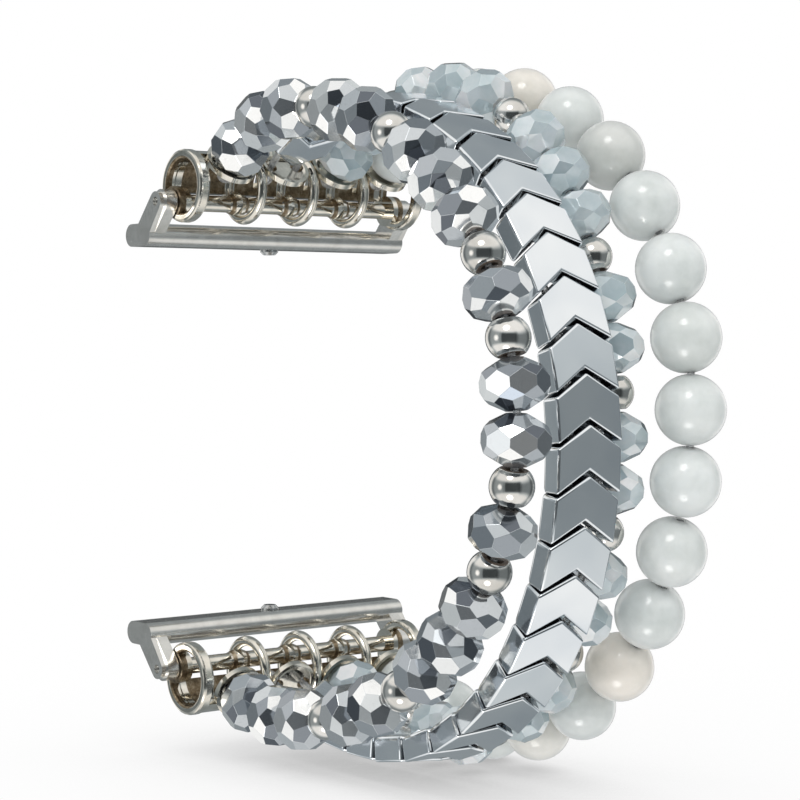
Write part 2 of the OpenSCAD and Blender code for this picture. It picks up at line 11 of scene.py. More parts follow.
import bmesh
import bpy
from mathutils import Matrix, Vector


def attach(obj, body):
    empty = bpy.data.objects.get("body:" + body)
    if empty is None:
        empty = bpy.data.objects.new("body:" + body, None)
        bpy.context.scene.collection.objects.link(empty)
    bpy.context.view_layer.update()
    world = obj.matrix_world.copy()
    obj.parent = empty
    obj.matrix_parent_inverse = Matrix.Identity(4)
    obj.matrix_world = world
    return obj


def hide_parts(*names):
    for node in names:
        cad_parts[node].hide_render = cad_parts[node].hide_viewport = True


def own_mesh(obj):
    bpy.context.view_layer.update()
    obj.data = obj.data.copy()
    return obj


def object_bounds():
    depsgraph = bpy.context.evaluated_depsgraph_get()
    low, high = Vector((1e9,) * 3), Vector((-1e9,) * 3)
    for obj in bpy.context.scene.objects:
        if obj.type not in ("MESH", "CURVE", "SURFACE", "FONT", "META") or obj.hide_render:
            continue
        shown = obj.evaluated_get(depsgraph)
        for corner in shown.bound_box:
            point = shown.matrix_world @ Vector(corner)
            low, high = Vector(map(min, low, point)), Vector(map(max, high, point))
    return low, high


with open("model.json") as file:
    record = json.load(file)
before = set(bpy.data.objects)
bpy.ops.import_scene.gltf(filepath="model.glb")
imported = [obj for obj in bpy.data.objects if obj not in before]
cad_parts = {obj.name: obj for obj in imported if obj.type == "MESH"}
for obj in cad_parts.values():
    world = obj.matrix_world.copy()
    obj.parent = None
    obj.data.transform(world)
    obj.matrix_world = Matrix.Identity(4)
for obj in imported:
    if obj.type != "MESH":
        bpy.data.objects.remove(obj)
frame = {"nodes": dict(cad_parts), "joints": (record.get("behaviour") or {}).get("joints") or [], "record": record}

bl_info = {
    "name": "Beaded Bracelet Band",
    "version": (1, 0, 0),
    "blender": (4, 5, 0),
    "location": "View3D > Sidebar > Bead Band",
    "description": "Dresses the crystals, chevrons, stones and cast ends of a beaded bracelet band",
    "category": "Object",
}

MM = 0.001
ENDS = ("upper", "lower")
SECTIONS = (1, 2, 3, 4, 5)
CAD_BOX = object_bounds()

# Corners closer than this become one, and faces that meet at less than this angle become one flat
MERGE_REACH = 0.0005 * MM
FLAT_ANGLE = math.radians(1.5)

# Edges that bend by more degrees than this are rounded; the last one stays sharp on a smooth stone
CRYSTAL_CREASE = 10
BALL_CREASE = 25
STONE_CREASE = 25
CHEVRON_CREASE = 20
STONE_SHARP = 35

# A crystal's facets draw their painted reflections from these, 0 the darkest and 1 the
# brightest, and may be off by the spread; its smaller faces are the narrow edges between
# them, which all take one light grey as a painted highlight
FACET_REFLECTIONS = (0.0, 0.2, 0.4, 0.5, 0.6, 0.8, 1.0, 1.0)
FACET_SEEDS = {"mirror": 11, "pale": 110}
FACET_AREA = 0.1 * MM * MM
REFLECTION_SPREAD = 0.06
EDGE_HIGHLIGHT = 0.6

# The balls are drawn in by a hair, so that they clear their neighbours when the band closes; faces
# nearer to a ball's middle than this share of its radius belong to its hole
BALL_SHARE = 0.99
HOLE_SHARE = 0.955

# Tints of the round stones of each section from the upper end on: 0 is grey, 1 is beige
STONE_TINTS = (
    (0.5, 0.6, 0.55, 1.0),
    (0.45, 0.0, 0.5),
    (0.6, 0.3, 0.5, 0.6),
    (0.65, 0.6, 1.0, 0.6),
    (0.92, 0.5, 0.6, 0.4),
)

# Faces smaller than the first belong to the chevrons' holes, and their flats are larger than the
# second; faces that look along the strand by more than the lean meet the next bead and get the
# dark grey of painted shade between the beads
CHEVRON_HOLE_FACE = 0.6 * MM * MM
CHEVRON_FLAT = 12 * MM * MM
GAP_LEAN = 0.5
GAP_SHADE = "4c5056"

# The barrels: how far a barrel's own axis lies off its pin, at what angle to the vertical towards
# the wrist, the sign of that way along Z, how wide the barrel is inside, the outside of the tube
# round the pin, and the spacing and half the width of the rings between the bays
BARREL_OFFSET = 2.15 * MM
BARREL_LEAN = {"upper": math.radians(46), "lower": math.radians(66)}
BARREL_SIDE = {"upper": 1, "lower": -1}
BARREL_INSIDE = 2.84 * MM
TUBE_OUTSIDE = 0.86 * MM
BAY_PITCH = 6.15 * MM
RING_HALF = 0.56 * MM

# The camera's sensor in millimetres, and how near and how far it sees
SENSOR_WIDTH = 36.0
CLIP_START = 5 * MM
CLIP_END = 10.0

# Each lamp's size, and how far it stands from the target: towards the camera, to its left and up
LAMPS = {
    "key": (90 * MM, (0.22, 0.06, 0.22)),
    "fill": (60 * MM, (0.3, 0.08, -0.02)),
}

# The floor's outline, and its soft shadow: how near a thing has to be to cast it, and how fast it
# fades
FLOOR_SIDES = 96
SHADOW_SAMPLES = 16
SHADOW_REACH = 90 * MM
SHADOW_POWER = 1.7

# What gloss shows on the camera's side and behind it, the degrees between which one fades into the
# other, and the tints of its dark and its bright places
GLOSS_FRONT = 1.0
GLOSS_BACK = 0.3
FRONT_FADE = (92, 120)
DIM_TINT = (0.8, 0.94, 1.0, 1.0)
BRIGHT_TINT = (1.0, 0.985, 0.96, 1.0)
WHITE = (1.0, 1.0, 1.0, 1.0)

# Cards that gloss shows: degrees round to the camera's right and above the horizon, the half angles
# across and up at which a card is full and gone, and the light that a softbox adds or the share of
# it that a dark card takes
SOFTBOXES = (
    (135, 0, (14, 22), (30, 45), 0.7),
    (-135, 0, (14, 22), (30, 45), 0.7),
)
DARK_CARDS = (
    (84, -4, (38, 58), (13, 38), 0.77),
    (-84, 0, (38, 44), (20, 34), 0.6),
    (0, 0, (34, 54), (18, 34), 0.93),
    (180, 0, (20, 24), (18, 22), 0.8),
    (-180, 0, (20, 24), (18, 22), 0.8),
)

# Round lights that gloss shows: degrees round and above the horizon, and the light that each adds;
# all of them are full and gone at the same angles
SPOTS = ((-66, 0, 1.0), (-17, 51, 5.5), (-17, -51, 4.5))
SPOT_REACH = (6, 16)


def band_middle():
    """The middle of the part's box."""
    return sum((Vector(corner) for corner in CAD_BOX), Vector()) / 2


def body_of(node_name):
    """The body that a node of the frame belongs to."""
    for body, nodes in frame["record"]["behaviour"]["bodies"].items():
        if node_name in nodes:
            return body
    raise RuntimeError(f"node {node_name} has no body")


def joint_named(name):
    """What the frame says of a joint."""
    return next(joint for joint in frame["joints"] if joint["name"] == name)


def linear(hex_colour):
    """A colour written as six hex digits, as a linear colour with alpha."""
    channels = [int(hex_colour[i : i + 2], 16) / 255 for i in (0, 2, 4)]
    return [c / 12.92 if c <= 0.04045 else ((c + 0.055) / 1.055) ** 2.4 for c in channels] + [1.0]


def colour_of(value):
    """A colour with alpha from six hex digits, from one number as a grey, or as it is."""
    if isinstance(value, str):
        return linear(value)
    return (value, value, value, 1.0) if isinstance(value, float) else value


# Node helpers


class Nodes:
    """The nodes of a material or a world, with short calls for what both are made of."""

    def __init__(self, owner):
        owner.use_nodes = True
        self.tree = owner.node_tree
        self.tree.nodes.clear()

    def add(self, kind, **settings):
        """A new node with settings of its own, such as its operation."""
        node = self.tree.nodes.new(kind)
        for name, value in settings.items():
            setattr(node, name, value)
        return node

    def feed(self, target, value):
        """Links a socket to a value that is a socket too, or else sets it."""
        if isinstance(value, bpy.types.NodeSocket):
            self.tree.links.new(value, target)
        else:
            target.default_value = value

    def math(self, operation, first, second=0.0):
        """A calculation with sockets or numbers."""
        node = self.add("ShaderNodeMath", operation=operation)
        self.feed(node.inputs[0], first)
        self.feed(node.inputs[1], second)
        return node.outputs[0]

    def mix(self, factor, first, second, blend="MIX"):
        """A colour mix; the two that it mixes are sockets, hex digits, numbers or colours."""
        node = self.add("ShaderNodeMix", data_type="RGBA", blend_type=blend)
        self.feed(node.inputs["Factor"], factor)
        self.feed(node.inputs[6], colour_of(first))
        self.feed(node.inputs[7], colour_of(second))
        return node.outputs[2]


class Shade(Nodes):
    """A material with one shader, and the noises and ramps that the finishes feed it with."""

    def __init__(self, name):
        self.material = bpy.data.materials.new(name)
        super().__init__(self.material)
        self.shader = self.add("ShaderNodeBsdfPrincipled")
        output = self.add("ShaderNodeOutputMaterial")
        self.feed(output.inputs["Surface"], self.shader.outputs["BSDF"])
        self.place = self.add("ShaderNodeTexCoord").outputs["Object"]

    def give(self, **values):
        """Feeds the shader's sockets, named with underscores for spaces."""
        for name, value in values.items():
            self.feed(self.shader.inputs[name.replace("_", " ")], value)

    def noise(self, scale, detail=4.0, roughness=0.5):
        """A noise with the given number of patches in a millimetre."""
        texture = self.add("ShaderNodeTexNoise")
        texture.inputs["Scale"].default_value = scale / MM
        texture.inputs["Detail"].default_value = detail
        texture.inputs["Roughness"].default_value = roughness
        self.feed(texture.inputs["Vector"], self.place)
        return texture.outputs["Fac"]

    def ramp(self, value, *stops):
        """Colours or greys along a value; each stop is a position with a colour."""
        node = self.add("ShaderNodeValToRGB")
        elements = node.color_ramp.elements
        while len(elements) < len(stops):
            elements.new(0.5)
        for element, (position, colour) in zip(elements, stops):
            element.position = position
            element.color = colour_of(colour)
        self.feed(node.inputs["Fac"], value)
        return node.outputs["Color"]

    def clouds(self, scale, *stops, detail=4.0, roughness=0.5):
        """A ramp along a noise."""
        return self.ramp(self.noise(scale, detail, roughness), *stops)

    def attribute(self, name):
        """A number that the faces of a piece carry."""
        return self.add("ShaderNodeAttribute", attribute_name=name).outputs["Fac"]

    def part(self, axis):
        """One coordinate of the point, in metres."""
        node = self.add("ShaderNodeSeparateXYZ")
        self.feed(node.inputs[0], self.place)
        return node.outputs[axis]

    def from_axis(self, y, z):
        """Distance from a line that runs along X, in metres."""
        legs = [self.math("SUBTRACT", self.part("Y"), y), self.math("SUBTRACT", self.part("Z"), z)]
        squares = [self.math("MULTIPLY", leg, leg) for leg in legs]
        return self.math("SQRT", self.math("ADD", *squares))

    def bump(self, height, strength, depth):
        """Relief on the surface; its depth is in millimetres."""
        node = self.add("ShaderNodeBump")
        node.inputs["Strength"].default_value = strength
        node.inputs["Distance"].default_value = depth * MM
        self.feed(node.inputs["Height"], height)
        self.give(Normal=node.outputs["Normal"])


# Finishes


def nickel_tone(shade, nickel):
    """The colour of the cast alloy, a little lighter and darker in patches."""
    stops = ((0.3, "cbc5b8"), (0.5, (*nickel, 1.0)), (0.7, "ebe7dd"))
    return shade.clouds(0.5, *stops, detail=5.0, roughness=0.6)


def cast_nickel(nickel):
    """Bright cast alloy of the adapters: polished, with a faint pitted ripple."""
    shade = Shade("cast_nickel")
    shade.give(
        Base_Color=shade.mix(0.5, nickel_tone(shade, nickel), "dadcde"),
        Metallic=0.9,
        Roughness=shade.clouds(2.2, (0.3, 0.18), (0.75, 0.28), detail=6.0, roughness=0.65),
    )
    shade.bump(shade.noise(0.9, detail=2.0), strength=0.12, depth=0.03)
    return shade.material


def barrel_nickel(nickel, end):
    """The same alloy on a barrel; its inner wall behind the rings is rough cast brown with painted shade."""
    shade = Shade(f"{end}_barrel_nickel")
    pin_y, pin_z = joint_named(f"{end}_pivot")["pos_m"][1:]
    axis_y = pin_y - BARREL_OFFSET * math.sin(BARREL_LEAN[end])
    axis_z = pin_z + BARREL_SIDE[end] * BARREL_OFFSET * math.cos(BARREL_LEAN[end])
    inside = shade.math("LESS_THAN", shade.from_axis(axis_y, axis_z), BARREL_INSIDE)
    off_tube = shade.math("GREATER_THAN", shade.from_axis(pin_y, pin_z), TUBE_OUTSIDE)
    from_ring = shade.math("PINGPONG", shade.math("ABSOLUTE", shade.part("X")), BAY_PITCH / 2)
    off_ring = shade.math("GREATER_THAN", from_ring, RING_HALF)
    # The inner wall behind the rings: brown as cast, and darker there as painted shade of the recess
    raw_shaded_wall = shade.math("MULTIPLY", shade.math("MULTIPLY", inside, off_tube), off_ring)
    crust = shade.noise(1.6, detail=8.0, roughness=0.75)
    brown = shade.ramp(crust, (0.3, "4a3f31"), (0.5, "8d7d66"), (0.7, "cfc3ad"))
    polish = shade.clouds(2.2, (0.3, 0.05), (0.75, 0.18), detail=6.0, roughness=0.65)
    shade.give(
        Base_Color=shade.mix(raw_shaded_wall, nickel_tone(shade, nickel), brown),
        Metallic=1.0,
        Roughness=shade.mix(raw_shaded_wall, polish, shade.ramp(crust, (0.3, 0.3), (0.7, 0.5))),
    )
    shade.bump(shade.mix(raw_shaded_wall, shade.noise(0.9, detail=2.0), crust), strength=0.3, depth=0.05)
    return shade.material


def drawn_steel():
    """Plain bright steel of the pins, plungers and springs."""
    shade = Shade("drawn_steel")
    shade.give(
        Base_Color=shade.clouds(1.0, (0.3, "a9abac"), (0.7, "d3d4d4")),
        Metallic=1.0,
        Roughness=shade.clouds(4.0, (0.3, 0.18), (0.7, 0.32)),
    )
    return shade.material


def mirror_coat():
    """Silver-coated glass, whose facets each take a grey of painted reflection, from dark grey to white."""
    shade = Shade("mirror_coat")
    stops = ((0.0, "666c74"), (0.3, "9fa6ad"), (0.6, "ced3d7"), (1.0, "fbfcfc"))
    # Painted reflection: each facet takes a grey from dark grey to white
    reflected_greys = shade.ramp(shade.attribute("facet_reflection"), *stops)
    speckle = shade.clouds(3.0, (0.55, 1.0), (0.8, 0.84), detail=8.0, roughness=0.7)
    shade.give(
        Base_Color=shade.mix(1.0, reflected_greys, speckle, "MULTIPLY"),
        Metallic=0.86,
        Roughness=shade.clouds(1.2, (0.3, 0.04), (0.75, 0.12), detail=5.0, roughness=0.6),
    )
    return shade.material


def polished_silver():
    """Hollow silver balls, brown and dull inside their holes."""
    shade = Shade("polished_silver")
    hole = shade.attribute("hole_face")
    silver = shade.clouds(0.35, (0.3, "cbc9c4"), (0.7, "e8e7e4"), detail=3.0)
    brown = shade.clouds(2.5, (0.3, "544941"), (0.7, "8a7c6f"), detail=6.0)
    polish = shade.clouds(1.5, (0.3, 0.08), (0.75, 0.18), detail=6.0, roughness=0.6)
    shade.give(
        Base_Color=shade.mix(hole, silver, brown),
        Metallic=shade.math("SUBTRACT", 1.0, hole),
        Roughness=shade.mix(hole, polish, 0.45),
    )
    shade.bump(shade.noise(1.1, detail=2.0), strength=0.12, depth=0.03)
    return shade.material


def chevron_plate():
    """Smooth silver plate, faintly clouded and worn, with painted shade on faces at the next bead."""
    shade = Shade("chevron_plate")
    cloud = shade.clouds(0.12, (0.35, "dce2e8"), (0.65, "edf1f4"), detail=2.0)
    # The faces that meet the next bead take a dark grey: painted shade between the beads
    shade.give(
        Base_Color=shade.mix(shade.attribute("painted_gap_shade"), cloud, GAP_SHADE),
        Metallic=0.95,
        Roughness=shade.clouds(2.0, (0.3, 0.05), (0.75, 0.13), detail=7.0, roughness=0.65),
    )
    shade.bump(shade.noise(0.5, detail=3.0), strength=0.05, depth=0.02)
    return shade.material


def opal_crystal():
    """Pale blue lustred glass, cloudy inside, with a painted reflection on each facet."""
    shade = Shade("opal_crystal")
    stops = ((0.0, "bccad0"), (0.35, "d5e0e4"), (0.7, "e8f0f5"), (1.0, "fbfcfe"))
    # Painted reflection: each facet takes a pale blue from darker to lighter
    reflected_blues = shade.ramp(shade.attribute("facet_reflection"), *stops)
    cloud = shade.clouds(0.4, (0.35, "dbe6e6"), (0.65, "ffffff"), roughness=0.6)
    shade.give(
        Base_Color=shade.mix(0.7, reflected_blues, cloud, "MULTIPLY"),
        Metallic=0.18,
        Roughness=shade.clouds(1.5, (0.3, 0.05), (0.75, 0.14), detail=5.0),
        IOR=1.6,
        Specular_IOR_Level=0.8,
        Coat_Weight=0.6,
        Coat_IOR=1.8,
        Coat_Roughness=0.04,
        Transmission_Weight=0.3,
        Subsurface_Weight=0.3,
        Subsurface_Scale=0.9 * MM,
        Subsurface_Radius=(0.9, 1.0, 1.1),
    )
    return shade.material


def milky_stone():
    """Round milky stone with faint clouds, and a warmer or greyer tint from stone to stone."""
    shade = Shade("milky_stone")
    stops = ((0.0, "cbcdca"), (0.3, "d5d9d7"), (0.6, "dbdfde"), (0.85, "dddfdc"), (1.0, "e6e1d9"))
    tint = shade.ramp(shade.attribute("bead_tint"), *stops)
    cloud = shade.clouds(0.25, (0.3, "d6dad8"), (0.6, "ffffff"), detail=5.0, roughness=0.6)
    shade.give(
        Base_Color=shade.mix(0.55, tint, cloud, "MULTIPLY"),
        Roughness=shade.clouds(1.0, (0.3, 0.12), (0.7, 0.2)),
        IOR=1.54,
        Specular_IOR_Level=0.5,
        Subsurface_Weight=0.9,
        Subsurface_Scale=2.4 * MM,
        Subsurface_Radius=(1.0, 0.97, 0.93),
        Coat_Weight=0.45,
        Coat_Roughness=0.05,
        Sheen_Weight=0.7,
        Sheen_Roughness=0.35,
    )
    return shade.material


def clear_elastic():
    """Clear stretch cord, a little milky."""
    shade = Shade("clear_elastic")
    shade.give(
        Base_Color=shade.clouds(1.5, (0.3, "c9cdcf"), (0.7, "eceeee")),
        Roughness=0.2,
        IOR=1.48,
        Transmission_Weight=0.7,
    )
    return shade.material


# Dressing helpers


def give_finish(node_name, material):
    """Puts a finish on every slot of a node that the frame carries over."""
    piece = frame["nodes"][node_name]
    if not piece.material_slots:
        piece.data.materials.append(material)
    for slot in piece.material_slots:
        slot.material = material


def copy_of(node_name):
    """A node's solid to work on."""
    shape = bmesh.new()
    shape.from_mesh(frame["nodes"][node_name].data)
    return shape


def join_flats(shape):
    """Makes one face of those that lie in one plane."""
    bmesh.ops.dissolve_limit(shape, angle_limit=FLAT_ANGLE, verts=shape.verts, edges=shape.edges)


def merged_copy(node_name):
    """A node's solid to work on, with its loose triangles joined and its flats made whole."""
    shape = copy_of(node_name)
    bmesh.ops.remove_doubles(shape, verts=shape.verts, dist=MERGE_REACH)
    join_flats(shape)
    bmesh.ops.recalc_face_normals(shape, faces=shape.faces)
    return shape


def sharp_edges(shape, degrees, smallest=0.0):
    """The edges where two faces, neither below an area, meet at more than an angle."""
    limit = math.radians(degrees)
    return [
        e
        for e in shape.edges
        if len(e.link_faces) == 2
        and e.calc_face_angle() > limit
        and min(f.calc_area() for f in e.link_faces) > smallest
    ]


def round_edges(shape, edges, width, steps):
    """Rounds edges and gives back the new narrow faces."""
    made = bmesh.ops.bevel(
        shape,
        geom=edges,
        offset=width,
        offset_type="OFFSET",
        affect="EDGES",
        segments=steps,
        profile=0.5,
        material=-1,
        clamp_overlap=True,
    )
    return made["faces"]


def beads_of(shape):
    """The separate beads of a shape, each as a list of its faces."""
    shape.faces.index_update()
    seen = set()
    beads = []
    for first in shape.faces:
        if first.index in seen:
            continue
        seen.add(first.index)
        bead = [first]
        for face in bead:
            for edge in face.edges:
                for other in edge.link_faces:
                    if other.index not in seen:
                        seen.add(other.index)
                        bead.append(other)
        beads.append(bead)
    return beads


def add_object(name, data):
    """A new object in the scene."""
    thing = bpy.data.objects.new(name, data)
    bpy.context.scene.collection.objects.link(thing)
    return thing


def mesh_of(shape, name, material):
    """A mesh with one material, made of a shape that is done with."""
    mesh = bpy.data.meshes.new(name)
    shape.to_mesh(mesh)
    shape.free()
    mesh.materials.append(material)
    return mesh


def add_piece(shape, node_name, suffix, material):
    """Makes a piece of a shape, in the place of the node that it was copied from."""
    name = f"{node_name}_{suffix}"
    piece = add_object(name, mesh_of(shape, name, material))
    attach(piece, body_of(node_name))
    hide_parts(node_name)
    return piece


def coil_spring(end, material):
    """A latch spring, made a piece with a mesh of its own."""
    node_name = f"{end}_latch_spring"
    piece = add_piece(copy_of(node_name), node_name, "coil", material)
    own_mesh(piece)


def cut_crystals(node_name, material, edge, seed):
    """Faceted beads: a painted reflection on each facet, a painted highlight on the narrow polished edges."""
    shape = merged_copy(node_name)
    round_edges(shape, sharp_edges(shape, CRYSTAL_CREASE), edge, steps=1)
    # Each facet takes a painted reflection, and the narrow edges take one painted highlight
    reflections = shape.faces.layers.float.new("facet_reflection")
    draw = random.Random(seed)
    for face in shape.faces:
        face.smooth = False
        face[reflections] = EDGE_HIGHLIGHT
        if face.calc_area() > FACET_AREA:
            face[reflections] = draw.choice(FACET_REFLECTIONS) + draw.uniform(-REFLECTION_SPREAD, REFLECTION_SPREAD)
    add_piece(shape, node_name, "cut", material)


def polish_balls(node_name, material, edge):
    """Smooth silver balls, whose end flats and bores are marked as hole faces."""
    shape = merged_copy(node_name)
    round_edges(shape, sharp_edges(shape, BALL_CREASE), edge, steps=2)
    marks = shape.faces.layers.float.new("hole_face")
    for bead in beads_of(shape):
        corners = [v.co.copy() for face in bead for v in face.verts]
        middle = sum(corners, Vector()) / len(corners)
        for corner in {v for face in bead for v in face.verts}:
            corner.co = middle.lerp(corner.co, BALL_SHARE)
        radius = BALL_SHARE * max((c - middle).length for c in corners)
        for face in bead:
            inner = (face.calc_center_median() - middle).length < HOLE_SHARE * radius
            face[marks] = float(inner)
            face.smooth = not inner
    add_piece(shape, node_name, "polished", material)


def dress_crystal_strand(strand, material, beads):
    """Cuts the crystals of a strand and polishes the balls between them."""
    silver = bpy.data.materials.get("polished_silver") or polished_silver()
    slot = f"{strand}_crystal"
    for section in SECTIONS:
        seed = FACET_SEEDS[strand] + section
        cut_crystals(f"{slot}s_{section}", material, beads.crystal_edge, seed)
        polish_balls(f"{strand}_spacers_{section}", silver, beads.ball_edge)


def along_band(bead):
    """How far round the band a bead is, as an angle from the wrist's opening over the upper end."""
    middle = band_middle()
    place = sum((face.calc_center_median() for face in bead), Vector()) / len(bead)
    return math.atan2(place.z - middle.z, place.y - middle.y) % (2 * math.pi)


def polish_stones(node_name, material, edge, section_tints):
    """Smooth round stones, each with its own tint from the upper end on."""
    shape = merged_copy(node_name)
    round_edges(shape, sharp_edges(shape, STONE_CREASE), edge, steps=1)
    tints = shape.faces.layers.float.new("bead_tint")
    stones = sorted(beads_of(shape), key=along_band)
    for bead, tint in zip(stones, section_tints, strict=True):
        for face in bead:
            face[tints] = tint
            face.smooth = True
    for crease in sharp_edges(shape, STONE_SHARP):
        crease.smooth = False
    add_piece(shape, node_name, "polished", material)


def square_up(flat):
    """Brings the bevelled outline of a flat face out to the sides that it was drawn in from."""
    for corner in flat.verts:
        spoke = next(e for e in corner.link_edges if flat not in e.link_faces)
        below = spoke.other_vert(corner).co
        corner.co = below + flat.normal * (corner.co - below).dot(flat.normal)


def plate_chevrons(node_name, material, edge):
    """Chevrons with flat outer faces that are full to their rounded edges."""
    shape = merged_copy(node_name)
    middle = band_middle()
    for flat in [f for f in shape.faces if f.calc_area() > CHEVRON_FLAT]:
        away = flat.calc_center_median() - middle
        if flat.normal.dot(Vector((0, away.y, away.z))) > 0:
            square_up(flat)
    join_flats(shape)
    for face in shape.faces:
        face.smooth = False
    # Faces that meet the next bead are marked for painted shade
    marks = shape.faces.layers.float.new("painted_gap_shade")
    edges = sharp_edges(shape, CHEVRON_CREASE, CHEVRON_HOLE_FACE)
    rounded = round_edges(shape, edges, edge, steps=3)
    for bead in beads_of(shape):
        flat = max(bead, key=lambda face: face.calc_area())
        along = flat.normal.cross(Vector((1, 0, 0))).normalized()
        for face in bead:
            face[marks] = float(abs(face.normal.dot(along)) > GAP_LEAN)
    for face in rounded:
        face[marks] = 0.0
        face.smooth = True
    add_piece(shape, node_name, "plated", material)


# Stage helpers


def stage_floor(reach, level, shadow):
    """A round floor, clear but for the soft shadow of what stands over it on the pale backdrop.

    A bent band reaches under it and still shows.
    """
    shape = bmesh.new()
    bmesh.ops.create_circle(shape, cap_ends=True, segments=FLOOR_SIDES, radius=reach)
    bmesh.ops.translate(shape, verts=shape.verts, vec=(0, 0, level))
    material = bpy.data.materials.new("pale_floor")
    nodes = Nodes(material)
    nearby = nodes.add("ShaderNodeAmbientOcclusion", samples=SHADOW_SAMPLES)
    nearby.inputs["Distance"].default_value = SHADOW_REACH
    covered = nodes.math("SUBTRACT", 1.0, nearby.outputs["AO"])
    dark = nodes.math("MULTIPLY", nodes.math("POWER", covered, SHADOW_POWER), shadow)
    clear = nodes.add("ShaderNodeBsdfTransparent")
    nodes.feed(clear.inputs["Color"], nodes.math("SUBTRACT", 1.0, dark))
    output = nodes.add("ShaderNodeOutputMaterial")
    nodes.feed(output.inputs["Surface"], clear.outputs["BSDF"])
    floor = add_object("floor", mesh_of(shape, "floor", material))
    floor.visible_glossy = False
    floor.visible_diffuse = False
    floor.visible_shadow = False


class Sky(Nodes):
    """The world's nodes, with short calls for light that depends on direction."""

    def __init__(self, front):
        self.world = bpy.data.worlds.new("studio")
        super().__init__(self.world)
        self.direction = self.add("ShaderNodeTexCoord").outputs["Generated"]
        self.level = Vector((front.x, front.y, 0)).normalized()
        self.side = Vector((-self.level.y, self.level.x, 0))
        self.round = self.math("ARCTAN2", self.along(self.side), self.along(self.level))
        self.height = self.math("ARCSINE", self.along(Vector((0, 0, 1))))
        self.off_front = self.math("ARCCOSINE", self.along(front))

    def along(self, way):
        """How far the direction leans along a way, from -1 to 1."""
        node = self.add("ShaderNodeVectorMath", operation="DOT_PRODUCT")
        self.feed(node.inputs[0], self.direction)
        self.feed(node.inputs[1], way)
        return node.outputs["Value"]

    def within(self, angle, full, gone):
        """1 up to an angle in degrees, falling smoothly to 0 at a wider one."""
        node = self.add("ShaderNodeMapRange", interpolation_type="SMOOTHSTEP")
        self.feed(node.inputs["Value"], angle)
        node.inputs["From Min"].default_value = math.radians(gone)
        node.inputs["From Max"].default_value = math.radians(full)
        return node.outputs["Result"]

    def off(self, angle, middle):
        """How far an angle is from a middle one in degrees."""
        return self.math("ABSOLUTE", self.math("SUBTRACT", angle, math.radians(middle)))

    def patch(self, turn, rise, wide, high):
        """1 where a card stands in the sky, 0 round it."""
        across = self.within(self.off(self.round, turn), *wide)
        up = self.within(self.off(self.height, rise), *high)
        return self.math("MULTIPLY", across, up)

    def spot(self, turn, rise):
        """1 in a round light's place in the sky, 0 round it."""
        turn, rise = math.radians(turn), math.radians(rise)
        way = math.cos(rise) * (math.cos(turn) * self.level + math.sin(turn) * self.side)
        way += Vector((0, 0, math.sin(rise)))
        return self.within(self.math("ARCCOSINE", self.along(way)), *SPOT_REACH)

    def darken(self, value, patch, share):
        """Takes a share of the light away in a patch."""
        kept = self.math("SUBTRACT", 1.0, self.math("MULTIPLY", patch, share))
        return self.math("MULTIPLY", value, kept)

    def lighten(self, value, patch, light):
        """Adds light in a patch."""
        return self.math("ADD", value, self.math("MULTIPLY", patch, light))

    def background(self, light, colour=WHITE):
        """Light of a strength and a colour."""
        node = self.add("ShaderNodeBackground")
        self.feed(node.inputs["Strength"], light)
        self.feed(node.inputs["Color"], colour)
        return node.outputs["Background"]

    def switch(self, factor, first, second):
        """The first light where a factor is 0, the second where it is 1."""
        node = self.add("ShaderNodeMixShader")
        for socket, value in zip(node.inputs, (factor, first, second)):
            self.feed(socket, value)
        return node.outputs["Shader"]


def stage_sky(level, front):
    """Even pale light all round; gloss shows softboxes with dark cards between them."""
    sky = Sky(front)
    in_front = sky.within(sky.off_front, *FRONT_FADE)
    gloss = sky.lighten(GLOSS_BACK, in_front, GLOSS_FRONT - GLOSS_BACK)
    for *card, light in SOFTBOXES:
        gloss = sky.lighten(gloss, sky.patch(*card), light)
    for *card, share in DARK_CARDS:
        gloss = sky.darken(gloss, sky.patch(*card), share)
    for turn, rise, light in SPOTS:
        gloss = sky.lighten(gloss, sky.spot(turn, rise), light)
    studio = sky.background(gloss, sky.mix(gloss, DIM_TINT, BRIGHT_TINT))
    ray = sky.add("ShaderNodeLightPath").outputs
    lit = sky.switch(ray["Is Glossy Ray"], sky.background(level), studio)
    clear = sky.math("MAXIMUM", ray["Is Camera Ray"], ray["Is Transmission Ray"])
    output = sky.add("ShaderNodeOutputWorld")
    sky.feed(output.inputs["Surface"], sky.switch(clear, lit, sky.background(1.0)))
    bpy.context.scene.world = sky.world


def aim(thing, place, target):
    """Stands a lamp or the camera at a place, looking at a target with +Z up."""
    thing.location = place
    thing.rotation_euler = (target - place).to_track_quat("-Z", "Y").to_euler()


def stage_camera(lens, place, target):
    """The camera that looks at the band as the photograph does."""
    data = bpy.data.cameras.new("camera")
    data.lens = lens
    data.sensor_width = SENSOR_WIDTH
    data.clip_start = CLIP_START
    data.clip_end = CLIP_END
    camera = add_object("camera", data)
    aim(camera, place, target)
    bpy.context.scene.camera = camera


def soft_lamp(name, power, front, target):
    """A square lamp that gloss doesn't show."""
    size, (near, left, up) = LAMPS[name]
    side = front.cross(Vector((0, 0, 1))).normalized()
    data = bpy.data.lights.new(name, "AREA")
    data.energy = power
    data.size = size
    lamp = add_object(name, data)
    lamp.visible_glossy = False
    aim(lamp, target + (front * near + side * left + Vector((0, 0, up))), target)


# Settings that a user can change


class BandMetals(bpy.types.PropertyGroup):
    """Colours of the metal parts."""

    nickel: bpy.props.FloatVectorProperty(
        name="Nickel",
        description="Colour of the polished cast end pieces",
        subtype="COLOR",
        size=3,
        min=0.0,
        max=1.0,
        default=tuple(linear("dcd8ce")[:3]),
    )


